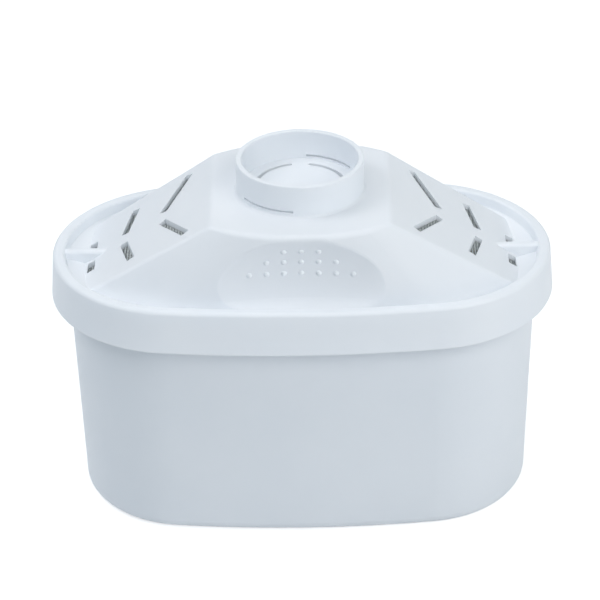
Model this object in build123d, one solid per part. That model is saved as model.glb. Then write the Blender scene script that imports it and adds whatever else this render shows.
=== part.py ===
from build123d import *
import math
import os

os.makedirs("parts", exist_ok=True)

# The rim, measured over the lid's top edge, and the height of that edge above the base
rim_length = 105.0
rim_width = 57.8
rim_side_bow = 1.5
rim_height = 57.0
skirt_height = 9.5
skirt_flare = 0.8
skirt_wall = 1.4
skirt_foot_radius = 0.4
lip_width = 2.4
lip_depth = 2.1
lip_outer_radius = 0.9
lip_slope = 0.5
lip_inner_radius = 0.7

# Walls and fits
lid_wall = 1.0
cup_wall = 1.5
seat_gap = 0.15
bed_gap = 0.2

# The cup: how far it stands in from the skirt's foot, how much it narrows to its base, its flange
cup_inset = 3.8
cup_draft = 1.0
cup_foot_radius = 2.6
flange_height = 1.6

# The gutter inside the lip: how far it falls towards the dome, and over what width
gutter_drop = 1.4
gutter_width = 4.5

# The dome: a flat top, a ramp towards each end, and front and back walls with a crease at each shoulder
dome_height = 13.5
ramp_run = 27.7
top_half_length, top_half_width = 18.4, 16.2
top_shoulder_x, top_shoulder_y, top_bow = 14.6, 18.5, 3.0
foot_half_width = 14.2
foot_shoulder_x, foot_shoulder_y, foot_bow = 27.6, 21.4, 2.4
crest_radius = 2.4
shoulder_radius = 8.0
dome_edge_radius = 1.2

# The two finger scoops: their curve in plan, their curve in height, where they are deepest, how they flare out
scoop_plan_radius = 80.0
scoop_section_radius = 14.0
scoop_reach = 19.4
scoop_height = 9.0
scoop_foot_radius = 5.0
scoop_edge_radius = 1.0

# The grip dots in each scoop, counted from the top row
dot_rows = (3, 5, 7)
dot_pitch = 3.55
dot_row_pitch = 2.7
dot_top_height = 13.0
dot_radius = 0.7
dot_stand = 0.35

# The finger ring with its raised floor, arc vents and drain slits
ring_radius = 13.3
ring_wall = 1.2
ring_height = 7.1
ring_edge_radius = 0.3
ring_foot_radius = 0.6
floor_step = 0.7
crown_radius = 8.2
crown_height = 0.4
vent_radius = 9.3
vent_width = 0.8
vent_span = 56.0
vent_centre_angle = 49.0
drain_height = 0.45
drain_lift = 0.35
drain_span = 44.0
drain_angle = 57.0

# The slot rows on each ramp: where the row's point and its ends lie along the length, and how far it spreads
slot_width = 1.6
slot_bridge = 4.0
inner_row_point, inner_row_end, inner_row_spread = 29.0, 23.7, 12.8
middle_row_point, middle_row_end, middle_row_spread = 37.3, 35.3, 10.6
outer_row_point, outer_row_end, outer_row_spread = 44.3, 44.3, 6.0

# The rib across the gutter at each end
rib_width = 2.0
rib_drop = 0.5
rib_edge_radius = 0.7

# Mesh screens
screen_thickness = 0.35
screen_margin = 0.6
vent_screen_margin = 1.8

# The outlet grille in the cup's base
outlet_radius = 15.0
outlet_depth = 2.0
outlet_screen_margin = 1.0
grille_slot_width = 1.2
grille_pitch = 2.8
grille_margin = 2.0

# The filling, and the room left over it under the lid
bed_headroom = 7.9

half_length = rim_length / 2
half_width = rim_width / 2
deck_z = rim_height - lip_depth
valley_z = deck_z - gutter_drop
lid_under_z = valley_z - lid_wall
top_z = rim_height + dome_height
top_under_z = top_z - lid_wall
skirt_foot_z = rim_height - skirt_height
ramp_drop = top_z - valley_z
ramp_angle = math.atan2(ramp_drop, ramp_run)
ring_floor_z = top_z + floor_step
ring_top_z = top_z + ring_height
cup_grow = skirt_flare - cup_inset
boss_top_z = outlet_depth + cup_wall
bed_top_z = lid_under_z - bed_headroom
near_enough = 0.01


# An oval of four tangent arcs, moved outwards all round by grow
def oval(grow, z):
    a = half_length + grow
    b = half_width + grow
    end_radius = b - rim_side_bow
    centre_x = a - end_radius
    side_radius = (a * a + b * b - 2 * a * end_radius) / (2 * rim_side_bow)
    angle = math.atan2(side_radius - b, centre_x)
    x = centre_x + end_radius * math.cos(angle)
    y = end_radius * math.sin(angle)
    arcs = [
        ThreePointArc((x, -y), (a, 0), (x, y)),
        ThreePointArc((x, y), (0, b), (-x, y)),
        ThreePointArc((-x, y), (-a, 0), (-x, -y)),
        ThreePointArc((-x, -y), (0, -b), (x, -y)),
    ]
    return Pos(0, 0, z) * make_face(arcs)


# A wall block between two ovals, straight from one to the other
def oval_block(low_grow, low_z, high_grow, high_z):
    return loft([oval(low_grow, low_z), oval(high_grow, high_z)], ruled=True)


# The dome's outline at one height: straight ends, straight shoulders, bowed front and back
def dome_outline(corner, shoulder, bow, z):
    quarter = [Vector(*corner), Vector(*shoulder)]
    back = [Vector(-p.X, p.Y) for p in reversed(quarter)]
    left = [Vector(-p.X, -p.Y) for p in quarter]
    front = [Vector(p.X, -p.Y) for p in reversed(quarter)]
    reach = shoulder[1] + bow
    lines = [
        Line(*quarter),
        ThreePointArc(quarter[1], (0, reach), back[0]),
        Line(*back),
        Line(back[1], left[0]),
        Line(*left),
        ThreePointArc(left[1], (0, -reach), front[0]),
        Line(*front),
        Line(front[1], quarter[0]),
    ]
    return Pos(0, 0, z) * make_face(lines)


# The dome's outer form for wall 0, or the hollow that leaves that wall
def dome_form(wall):
    crest_x = top_half_length - wall * math.tan(ramp_angle / 2)
    foot_corner = (crest_x + ramp_run, foot_half_width - wall)
    foot_shoulder = (foot_shoulder_x, foot_shoulder_y - wall)
    foot = dome_outline(foot_corner, foot_shoulder, foot_bow, valley_z - wall)
    top_corner = (crest_x, top_half_width - wall)
    top_shoulder = (top_shoulder_x, top_shoulder_y - wall)
    top = dome_outline(top_corner, top_shoulder, top_bow, top_z - wall)
    return loft([foot, top], ruled=True)


# A ring whose outer side curves in plan and in height like a scoop, moved outwards by grow
def scoop_ring(side, grow):
    axis_y = side * (scoop_reach + scoop_plan_radius)
    ring = Torus(scoop_plan_radius - scoop_section_radius, scoop_section_radius + grow)
    return Pos(0, axis_y, valley_z + scoop_height) * ring


# What a fingertip takes out of the dome's front or back wall, flaring out to the gutter
def scoop(side):
    width = scoop_plan_radius + scoop_section_radius
    room = Cylinder(width, width, align=(Align.CENTER, Align.CENTER, Align.MIN))
    ring = scoop_ring(side, 0) & Pos(0, side * (scoop_reach + scoop_plan_radius), valley_z) * room
    middle_radius = scoop_plan_radius - scoop_section_radius
    foot = [e for e in ring.edges().filter_by(GeomType.CIRCLE) if is_near(e.bounding_box().max.Z, valley_z)]
    return fillet([e for e in foot if e.radius > middle_radius], scoop_foot_radius)


def is_near(value, target):
    return abs(value - target) < near_enough


def is_crest(edge):
    return is_near(edge.length, 2 * top_half_width) and is_near(edge.center().Z, top_z)


def is_shoulder(edge):
    box = edge.bounding_box()
    spans_wall = is_near(box.size.Z, ramp_drop)
    return spans_wall and is_near(box.size.X, foot_shoulder_x - top_shoulder_x)


# The edge of the flat top and the ridges that run on from it down each ramp
def is_dome_edge(edge):
    box = edge.bounding_box()
    off_middle = min(abs(box.min.Y), abs(box.max.Y)) > foot_half_width - dome_edge_radius
    above_foot = box.max.Z > top_z - crest_radius and box.size.X > near_enough
    on_ridge = box.size.Y < top_half_width - foot_half_width + near_enough
    on_top = box.min.Z > top_z - dome_edge_radius
    return off_middle and above_foot and (on_ridge or on_top)


# The outline of a scoop down to where it starts to flare out
def is_scoop_edge(edge):
    box = edge.bounding_box()
    return max(box.size.X, box.size.Z) > scoop_foot_radius and box.max.Z > valley_z + scoop_height


def rounded_dome():
    dome = dome_form(0)
    dome = fillet([e for e in dome.edges() if is_crest(e)], crest_radius)
    dome = fillet([e for e in dome.edges() if is_shoulder(e)], shoulder_radius)
    dome = fillet([e for e in dome.edges() if is_dome_edge(e)], dome_edge_radius)
    dome = dome - scoop(1) - scoop(-1)
    hollows = dome.faces().filter_by(GeomType.TORUS).sort_by(SortBy.AREA)[-2:]
    return fillet([e for f in hollows for e in f.edges() if is_scoop_edge(e)], scoop_edge_radius)


def slot_arm(point, end, spread, x_side, y_side):
    inner = Vector(x_side * point, y_side * slot_bridge / 2)
    outer = Vector(x_side * end, y_side * spread)
    arm = outer - inner
    angle = math.degrees(math.atan2(arm.Y, arm.X))
    middle = (inner + outer) / 2
    depth = ramp_drop + 2 * lid_wall
    cut = Box(arm.length, slot_width, depth, align=(Align.CENTER, Align.CENTER, Align.MIN))
    return Pos(middle.X, middle.Y, lid_under_z) * Rot(0, 0, angle) * cut


def slots():
    rows = [
        (inner_row_point, inner_row_end, inner_row_spread),
        (middle_row_point, middle_row_end, middle_row_spread),
        (outer_row_point, outer_row_end, outer_row_spread),
    ]
    return [slot_arm(*row, x_side, y_side) for row in rows for x_side in (1, -1) for y_side in (1, -1)]


def arc_slot(radius, width, span, centre_angle, low_z, height):
    line = CenterArc((0, 0), radius, centre_angle - span / 2, span)
    return Pos(0, 0, low_z) * extrude(SlotArc(line, width), height)


def finger_ring():
    wall = Cylinder(ring_radius, ring_height) - Cylinder(ring_radius - ring_wall, ring_height)
    wall = Pos(0, 0, top_z + ring_height / 2) * wall
    rounds = [e for e in wall.edges().filter_by(GeomType.CIRCLE) if is_near(e.center().Z, ring_top_z)]
    wall = fillet(rounds, ring_edge_radius)
    floor = Pos(0, 0, top_z + floor_step / 2) * Cylinder(ring_radius - ring_wall / 2, floor_step)
    ball_radius = (crown_radius**2 + crown_height**2) / (2 * crown_height)
    ball = Pos(0, 0, ring_floor_z + crown_height - ball_radius) * Sphere(ball_radius)
    crown = ball & Pos(0, 0, top_z + ring_height / 2) * Cylinder(crown_radius, ring_height)
    return wall + floor + crown


def ring_cuts():
    vent_low = top_under_z - lid_wall
    vent_height = ring_floor_z + lid_wall - vent_low
    angles = [q * 180 + s * vent_centre_angle for q in (0, 1) for s in (1, -1)]
    vents = [arc_slot(vent_radius, vent_width, vent_span, a, vent_low, vent_height) for a in angles]
    drain_radius = ring_radius - ring_wall / 2
    drain_low = ring_floor_z + drain_lift
    turns = (drain_angle, drain_angle + 180)
    drains = [arc_slot(drain_radius, 2 * ring_wall, drain_span, a, drain_low, drain_height) for a in turns]
    return vents + drains


def end_rib(side):
    length = half_length - lip_width / 2 - top_half_length
    height = rim_height - rib_drop - lid_under_z
    rib = Box(length, rib_width, height, align=(Align.MIN, Align.CENTER, Align.MIN))
    rib = Pos(top_half_length, 0, lid_under_z) * rib
    top_edges = rib.edges().filter_by(Axis.X).sort_by(Axis.Z)[-2:]
    rib = fillet(top_edges, rib_edge_radius)
    return rib if side > 0 else mirror(rib, Plane.YZ)


def grip_dots(side):
    tube = scoop_plan_radius - scoop_section_radius
    dots = []
    for row, count in enumerate(dot_rows):
        height = dot_top_height - row * dot_row_pitch
        reach = tube + math.sqrt(scoop_section_radius**2 - (height - scoop_height) ** 2)
        for i in range(count):
            x = (i - (count - 1) / 2) * dot_pitch
            y = scoop_reach + scoop_plan_radius - math.sqrt(reach**2 - x**2)
            dot_y = side * (y - dot_radius + dot_stand)
            dots.append(Pos(x, dot_y, valley_z + height) * Sphere(dot_radius))
    return dots


def rim():
    body = oval_block(skirt_flare, skirt_foot_z, 0, rim_height)
    body -= oval_block(skirt_flare - skirt_wall, skirt_foot_z, -skirt_wall, lid_under_z)
    body -= oval_block(-lip_width - lip_slope, deck_z, -lip_width, rim_height)
    body -= oval_block(-lip_width - lip_slope - gutter_width, valley_z, -lip_width - lip_slope, deck_z)
    lip = [e for e in body.edges() if is_near(e.bounding_box().min.Z, rim_height)]
    inside = half_length - lip_width / 2
    body = fillet([e for e in lip if not reaches_past(e, inside)], lip_inner_radius)
    lip = [e for e in body.edges() if is_near(e.bounding_box().min.Z, rim_height)]
    body = fillet([e for e in lip if reaches_past(e, inside)], lip_outer_radius)
    foot = [e for e in body.edges() if is_near(e.bounding_box().max.Z, skirt_foot_z)]
    return fillet(foot, skirt_foot_radius)


# Whether an arc of an oval belongs to one that is wider than the oval which ends at x
def reaches_past(edge, x):
    box = edge.bounding_box()
    past_end = max(abs(box.min.X), abs(box.max.X)) > x
    past_side = max(abs(box.min.Y), abs(box.max.Y)) > x - half_length + half_width
    on_end = box.size.Y > box.size.X
    return past_end if on_end else past_side


def lid():
    hollow = dome_form(lid_wall) - scoop_ring(1, lid_wall) - scoop_ring(-1, lid_wall)
    body = rim() + rounded_dome() + end_rib(1) + end_rib(-1) - hollow
    body = body + finger_ring()
    at_foot = [e for e in body.edges().filter_by(GeomType.CIRCLE) if is_near(e.center().Z, top_z)]
    body = fillet([e for e in at_foot if is_near(e.radius, ring_radius)], ring_foot_radius)
    for side in (1, -1):
        body = body + grip_dots(side)
    return body - slots() - ring_cuts()


def grille_slots():
    reach = outlet_radius - grille_margin
    count = int(reach / grille_pitch)
    cuts = []
    for i in range(-count, count + 1):
        y = i * grille_pitch
        length = 2 * math.sqrt(reach**2 - y**2)
        if length > 2 * grille_slot_width:
            cuts.append(Pos(0, y, 0) * extrude(SlotOverall(length, grille_slot_width), boss_top_z + cup_wall))
    return cuts


def cup_grow_at(z):
    return cup_grow - cup_draft * (skirt_foot_z - z) / skirt_foot_z


# The cup's outer form for inset 0, or what stands inside it by inset, from low_z to high_z
def cup_form(inset, low_z, high_z, foot_radius):
    form = oval_block(cup_grow_at(low_z) - inset, low_z, cup_grow_at(high_z) - inset, high_z)
    foot = [e for e in form.edges() if is_near(e.bounding_box().max.Z, low_z)]
    return fillet(foot, foot_radius)


def cup():
    body = cup_form(0, 0, lid_under_z, cup_foot_radius)
    flange = extrude(oval(-skirt_wall - seat_gap, lid_under_z - flange_height), flange_height)
    body = body + flange
    body -= cup_form(cup_wall, cup_wall, lid_under_z, cup_foot_radius - cup_wall)
    body += Pos(0, 0, boss_top_z / 2) * Cylinder(outlet_radius + cup_wall, boss_top_z)
    body -= Pos(0, 0, outlet_depth / 2) * Cylinder(outlet_radius, outlet_depth)
    return body - grille_slots()


# A bent mesh strip against the underside of one ramp and of the gutter beyond it
def slot_screen(side):
    crest_x = top_half_length - lid_wall * math.tan(ramp_angle / 2)
    foot_x = crest_x + ramp_run
    start_x = inner_row_end - slot_width - screen_margin
    start_z = top_under_z - (start_x - crest_x) * ramp_drop / ramp_run
    upper = Polyline((start_x, start_z), (foot_x, lid_under_z), (half_length, lid_under_z))
    lower = Pos(0, -screen_thickness) * upper
    ends = [Line(upper @ 0, lower @ 0), Line(upper @ 1, lower @ 1)]
    profile = Plane.XZ * make_face([upper, lower] + ends)
    taper = (top_half_width - foot_half_width) / ramp_run
    foot_y = foot_half_width - lid_wall - seat_gap
    start_y = foot_y + taper * (foot_x - start_x)
    end_y = foot_y - taper * (half_length - foot_x)
    plan = Polyline((start_x, start_y), (half_length, end_y), (half_length, -end_y), (start_x, -start_y), close=True)
    cup_mouth = oval(cup_grow_at(lid_under_z) - cup_wall - seat_gap, 0)
    screen = extrude(profile, half_width, both=True) & extrude(make_face(plan), top_z) & extrude(cup_mouth, top_z)
    return screen if side > 0 else mirror(screen, Plane.YZ)


def vent_screen():
    radius = vent_radius + vent_screen_margin
    return Pos(0, 0, top_under_z - screen_thickness / 2) * Cylinder(radius, screen_thickness)


def outlet_screen():
    radius = outlet_radius - outlet_screen_margin
    return Pos(0, 0, boss_top_z + screen_thickness / 2) * Cylinder(radius, screen_thickness)


def media_bed():
    form = cup_form(cup_wall + bed_gap, cup_wall, bed_top_z, cup_foot_radius)
    boss_height = boss_top_z + screen_thickness
    boss = Pos(0, 0, boss_height / 2) * Cylinder(outlet_radius + cup_wall + bed_gap, boss_height)
    return form - boss


pieces = {
    "cup": cup(),
    "lid": lid(),
    "slot_screen_left": slot_screen(-1),
    "slot_screen_right": slot_screen(1),
    "vent_screen": vent_screen(),
    "outlet_screen": outlet_screen(),
    "media_bed": media_bed(),
}
for name, piece in pieces.items():
    export_step(piece, "parts/" + name + ".step")
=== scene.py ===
import math
import bpy
from mathutils import Matrix

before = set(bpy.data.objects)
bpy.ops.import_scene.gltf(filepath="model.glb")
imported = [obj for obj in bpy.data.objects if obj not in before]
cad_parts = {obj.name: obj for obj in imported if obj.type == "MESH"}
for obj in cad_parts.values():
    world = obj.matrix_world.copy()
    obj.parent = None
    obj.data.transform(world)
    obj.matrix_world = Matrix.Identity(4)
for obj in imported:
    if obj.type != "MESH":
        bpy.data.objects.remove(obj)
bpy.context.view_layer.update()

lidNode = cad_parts["lid"]
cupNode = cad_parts["cup"]
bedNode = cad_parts["media_bed"]
screenNames = ("slot_screen_left", "slot_screen_right", "vent_screen", "outlet_screen")
screenNodes = [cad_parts[name] for name in screenNames]


cameraSet = {
    "place": (0.0029, -0.4282, 0.29815),
    "lens": 139.5,
    "sensorWide": 36,
    "nearClip": 0.01,
    "tiltDown": 0.537,  # this and the two below in radians
    "turn": 0.008,
    "roll": -0.020,
}


def addCamera(s):
    lensData = bpy.data.cameras.new("productCamera")
    lensData.lens = s["lens"]
    lensData.sensor_width = s["sensorWide"]
    lensData.clip_start = s["nearClip"]
    camera = bpy.data.objects.new("productCamera", lensData)
    bpy.context.scene.collection.objects.link(camera)
    tilt = Matrix.Rotation(math.pi / 2 - s["tiltDown"], 4, "X")
    aim = Matrix.Rotation(s["turn"], 4, "Z") @ tilt
    camera.matrix_world = Matrix.Translation(s["place"]) @ aim @ Matrix.Rotation(s["roll"], 4, "Z")
    bpy.context.scene.camera = camera


addCamera(cameraSet)
print("camera ready")


lightSet = {
    "aimHeight": 0.04,  # every lamp looks at this height above the floor
    "lamps": {
        "topLamp": {
            "place": (-0.10, 0.05, 0.70), "size": 0.45,
            "power": 0.80, "colour": (1.0, 0.965, 0.93),
        },
        "topLeftLamp": {
            "place": (-0.45, 0.0, 0.55), "size": 0.30,
            "power": 1.12, "colour": (0.98, 0.965, 1.0),
        },
        "highFrontLamp": {
            "place": (0.0, -0.65, 0.55), "size": 0.45,
            "power": 0.72, "colour": (0.955, 0.93, 1.0),
        },
        "highRightLamp": {
            "place": (0.40, -0.45, 0.55), "size": 0.40,
            "power": 1.68, "colour": (1.0, 0.965, 0.925),
        },
        "lowRightLamp": {
            "place": (0.65, -0.35, 0.10), "size": 0.20,
            "power": 0.68, "colour": (1.0, 0.975, 0.985),
        },
        "backLamp": {
            "place": (0.0, 0.45, 0.55), "size": 0.40,
            "power": 0.31, "colour": (0.96, 0.94, 1.0),
        },
    },
    "skyColour": (0.68, 0.87, 1.0),
    "skyStrength": 0.325,
    "backdropColour": (1, 1, 1),
    "backdropStrength": 1,
}


def addLamp(name, s, aimHeight):
    lampData = bpy.data.lights.new(name, "AREA")
    lampData.energy = s["power"]
    lampData.size = s["size"]
    lampData.color = s["colour"]
    lamp = bpy.data.objects.new(name, lampData)
    bpy.context.scene.collection.objects.link(lamp)
    lamp.location = s["place"]
    toPart = -lamp.location
    toPart.z += aimHeight
    lamp.rotation_euler = toPart.to_track_quat("-Z", "Y").to_euler()


# 1 for a ray from the camera, off a gloss or through a clear body, so that it sees plain white
def seenRays(nodes, link):
    ray = nodes.new("ShaderNodeLightPath")
    seen = ray.outputs["Is Camera Ray"]
    for kind in ("Is Glossy Ray", "Is Transmission Ray"):
        either = nodes.new("ShaderNodeMath")
        either.operation = "MAXIMUM"
        link(seen, either.inputs[0])
        link(ray.outputs[kind], either.inputs[1])
        seen = either.outputs[0]
    return seen


# a white backdrop for the rays that show it, and a softer blue sky that lights the part
def addSky(s):
    world = bpy.data.worlds.new("studio")
    bpy.context.scene.world = world
    world.use_nodes = True
    nodes = world.node_tree.nodes
    link = world.node_tree.links.new
    nodes.clear()
    out = nodes.new("ShaderNodeOutputWorld")
    backdrop = nodes.new("ShaderNodeBackground")
    sky = nodes.new("ShaderNodeBackground")
    pick = nodes.new("ShaderNodeMixShader")
    backdrop.inputs["Color"].default_value = (*s["backdropColour"], 1)
    backdrop.inputs["Strength"].default_value = s["backdropStrength"]
    sky.inputs["Color"].default_value = (*s["skyColour"], 1)
    sky.inputs["Strength"].default_value = s["skyStrength"]
    link(seenRays(nodes, link), pick.inputs["Fac"])
    link(sky.outputs[0], pick.inputs[1])
    link(backdrop.outputs[0], pick.inputs[2])
    link(pick.outputs[0], out.inputs["Surface"])


for lampName, lampValues in lightSet["lamps"].items():
    addLamp(lampName, lampValues, lightSet["aimHeight"])
addSky(lightSet)
bpy.context.scene.view_settings.view_transform = "Standard"
print("lamps and sky ready")


floorSet = {
    "reach": 3.0,
    "colour": (0.75, 0.755, 0.76),
    "roughness": 0.9,
    "shine": 0.1,
    "whiteLift": 0.60,  # lifts the floor to white and leaves the part's shadow on it
}


def addFloor(s):
    bpy.ops.mesh.primitive_plane_add(size=2 * s["reach"], location=(0, 0, 0))
    floor = bpy.context.object
    floor.name = "tableTop"
    paper = bpy.data.materials.new("paleTable")
    paper.use_nodes = True
    nodes = paper.node_tree.nodes
    link = paper.node_tree.links.new
    shade = nodes["Principled BSDF"]
    shade.inputs["Base Color"].default_value = (*s["colour"], 1)
    shade.inputs["Roughness"].default_value = s["roughness"]
    shade.inputs["Specular IOR Level"].default_value = s["shine"]
    glow = nodes.new("ShaderNodeEmission")
    glow.inputs["Color"].default_value = (1, 1, 1, 1)
    lift = nodes.new("ShaderNodeMath")
    lift.operation = "MULTIPLY"
    lift.inputs[1].default_value = s["whiteLift"]
    both = nodes.new("ShaderNodeAddShader")
    link(seenRays(nodes, link), lift.inputs[0])
    link(lift.outputs[0], glow.inputs["Strength"])
    link(shade.outputs[0], both.inputs[0])
    link(glow.outputs[0], both.inputs[1])
    link(both.outputs[0], nodes["Material Output"].inputs["Surface"])
    floor.data.materials.append(paper)


addFloor(floorSet)
print("floor ready")


noiseSpan = (0.3, 0.7)  # nearly all of a noise lies between these two values


def newLook(name):
    look = bpy.data.materials.new(name)
    look.use_nodes = True
    return look, look.node_tree.nodes, look.node_tree.links.new


# noise over the piece in metres, so scale 1000 gives grains of about a millimetre
def noiseAt(nodes, link, scale, detail):
    place = nodes.new("ShaderNodeTexCoord")
    grain = nodes.new("ShaderNodeTexNoise")
    grain.inputs["Scale"].default_value = scale
    grain.inputs["Detail"].default_value = detail
    link(place.outputs["Object"], grain.inputs["Vector"])
    return grain.outputs["Fac"]


def spread(nodes, link, source, low, high):
    fit = nodes.new("ShaderNodeMapRange")
    fit.inputs["From Min"].default_value = noiseSpan[0]
    fit.inputs["From Max"].default_value = noiseSpan[1]
    fit.inputs["To Min"].default_value = low
    fit.inputs["To Max"].default_value = high
    link(source, fit.inputs["Value"])
    return fit.outputs["Result"]


def twoTone(nodes, link, source, first, second):
    blend = nodes.new("ShaderNodeValToRGB")
    for stop, position, colour in zip(blend.color_ramp.elements, noiseSpan, (first, second)):
        stop.position = position
        stop.color = (*colour, 1)
    link(source, blend.inputs["Fac"])
    return blend.outputs["Color"]


def bumpFrom(nodes, link, source, depth, before=None):
    bump = nodes.new("ShaderNodeBump")
    bump.inputs["Distance"].default_value = depth
    link(source, bump.inputs["Height"])
    if before:
        link(before, bump.inputs["Normal"])
    return bump.outputs["Normal"]


# satin moulded plastic that lets a little light into its thin walls
def mouldedPlastic(name, s):
    plastic, nodes, link = newLook(name)
    shade = nodes["Principled BSDF"]
    cloud = noiseAt(nodes, link, s["cloudScale"], s["cloudDetail"])
    haze = noiseAt(nodes, link, s["hazeScale"], s["fineDetail"])
    pores = noiseAt(nodes, link, s["poreScale"], s["fineDetail"])
    tone = twoTone(nodes, link, cloud, s["colour"], s["paler"])
    link(tone, shade.inputs["Base Color"])
    link(spread(nodes, link, haze, *s["roughness"]), shade.inputs["Roughness"])
    sunk = bumpFrom(nodes, link, cloud, s["sinkDepth"])
    link(bumpFrom(nodes, link, pores, s["poreDepth"], sunk), shade.inputs["Normal"])
    shade.inputs["IOR"].default_value = s["refraction"]
    shade.inputs["Subsurface Weight"].default_value = s["glow"]
    shade.inputs["Subsurface Radius"].default_value = (1.0, 1.0, 1.0)
    shade.inputs["Subsurface Scale"].default_value = s["glowDepth"]
    return plastic


# woven threads with open gaps, the threads running along the piece and across it
def wovenMesh(name, s):
    cloth, nodes, link = newLook(name)
    shade = nodes["Principled BSDF"]
    place = nodes.new("ShaderNodeTexCoord")
    threads = []
    for direction in ("X", "Y"):
        wave = nodes.new("ShaderNodeTexWave")
        wave.bands_direction = direction
        wave.inputs["Scale"].default_value = s["wavesPerMetre"]
        wave.inputs["Distortion"].default_value = s["wobble"]
        link(place.outputs["Object"], wave.inputs["Vector"])
        threads.append(wave.outputs["Fac"])
    higher = nodes.new("ShaderNodeMath")
    higher.operation = "MAXIMUM"
    link(threads[0], higher.inputs[0])
    link(threads[1], higher.inputs[1])
    fuzz = noiseAt(nodes, link, s["fuzzScale"], s["fuzzDetail"])
    link(twoTone(nodes, link, fuzz, s["colour"], s["paler"]), shade.inputs["Base Color"])
    link(spread(nodes, link, fuzz, *s["roughness"]), shade.inputs["Roughness"])
    link(bumpFrom(nodes, link, higher.outputs[0], s["threadDepth"]), shade.inputs["Normal"])
    onThread = nodes.new("ShaderNodeMath")
    onThread.operation = "GREATER_THAN"
    onThread.inputs[1].default_value = s["gapBelow"]
    link(higher.outputs[0], onThread.inputs[0])
    gap = nodes.new("ShaderNodeBsdfTransparent")
    weave = nodes.new("ShaderNodeMixShader")
    link(onThread.outputs[0], weave.inputs["Fac"])
    link(gap.outputs[0], weave.inputs[1])
    link(shade.outputs[0], weave.inputs[2])
    link(weave.outputs[0], nodes["Material Output"].inputs["Surface"])
    return cloth


# packed grains, most of them charcoal and some amber resin
def packedGranules(name, s):
    filling, nodes, link = newLook(name)
    shade = nodes["Principled BSDF"]
    place = nodes.new("ShaderNodeTexCoord")
    grains = nodes.new("ShaderNodeTexVoronoi")
    grains.inputs["Scale"].default_value = s["grainsPerMetre"]
    link(place.outputs["Object"], grains.inputs["Vector"])
    pick = nodes.new("ShaderNodeSeparateColor")
    link(grains.outputs["Color"], pick.inputs["Color"])
    kind = nodes.new("ShaderNodeValToRGB")
    kind.color_ramp.interpolation = "CONSTANT"
    kind.color_ramp.elements[0].color = (*s["charcoal"], 1)
    kind.color_ramp.elements[1].position = 1 - s["resinShare"]
    kind.color_ramp.elements[1].color = (*s["resin"], 1)
    link(pick.outputs["Red"], kind.inputs["Fac"])
    link(kind.outputs["Color"], shade.inputs["Base Color"])
    grainRoughness = spread(nodes, link, pick.outputs["Green"], *s["roughness"])
    link(grainRoughness, shade.inputs["Roughness"])
    dome = nodes.new("ShaderNodeMath")  # highest in the middle of each grain
    dome.operation = "SUBTRACT"
    dome.inputs[0].default_value = 1.0
    link(grains.outputs["Distance"], dome.inputs[1])
    dust = noiseAt(nodes, link, s["dustScale"], s["dustDetail"])
    rounded = bumpFrom(nodes, link, dome.outputs[0], s["grainDepth"])
    link(bumpFrom(nodes, link, dust, s["dustDepth"], rounded), shade.inputs["Normal"])
    return filling


def dress(node, material):
    node.data.materials.clear()
    node.data.materials.append(material)


lidLook = {
    "colour": (0.858, 0.888, 0.922),
    "paler": (0.878, 0.903, 0.932),
    "roughness": (0.42, 0.50),
    "cloudScale": 55,
    "cloudDetail": 3,
    "hazeScale": 700,
    "poreScale": 3500,
    "fineDetail": 2,
    "sinkDepth": 0.00006,
    "poreDepth": 0.00001,
    "refraction": 1.49,
    "glow": 0.35,
    "glowDepth": 0.0015,
}
dress(lidNode, mouldedPlastic("lidPlastic", lidLook))
print("lid ready")

cupLook = {
    "colour": (0.815, 0.852, 0.890),
    "paler": (0.845, 0.878, 0.912),
    "roughness": (0.44, 0.54),
    "cloudScale": 40,
    "cloudDetail": 3,
    "hazeScale": 600,
    "poreScale": 3000,
    "fineDetail": 2,
    "sinkDepth": 0.0001,
    "poreDepth": 0.00001,
    "refraction": 1.49,
    "glow": 0.35,
    "glowDepth": 0.002,
}
dress(cupNode, mouldedPlastic("cupPlastic", cupLook))
print("cup ready")

meshLook = {
    "colour": (0.43, 0.46, 0.45),
    "paler": (0.58, 0.61, 0.60),
    "roughness": (0.5, 0.65),
    "wavesPerMetre": 480,
    "wobble": 0.4,
    "gapBelow": 0.65,
    "fuzzScale": 2500,
    "fuzzDetail": 2,
    "threadDepth": 0.0001,
}
filterMesh = wovenMesh("filterMesh", meshLook)
for screen in screenNodes:
    dress(screen, filterMesh)
print("mesh screens ready")

granuleLook = {
    "charcoal": (0.035, 0.033, 0.032),
    "resin": (0.34, 0.17, 0.05),
    "resinShare": 0.4,
    "roughness": (0.45, 0.8),
    "grainsPerMetre": 1100,
    "grainDepth": 0.0004,
    "dustScale": 4000,
    "dustDetail": 2,
    "dustDepth": 0.00004,
}
dress(bedNode, packedGranules("filterGranules", granuleLook))
print("granules ready")
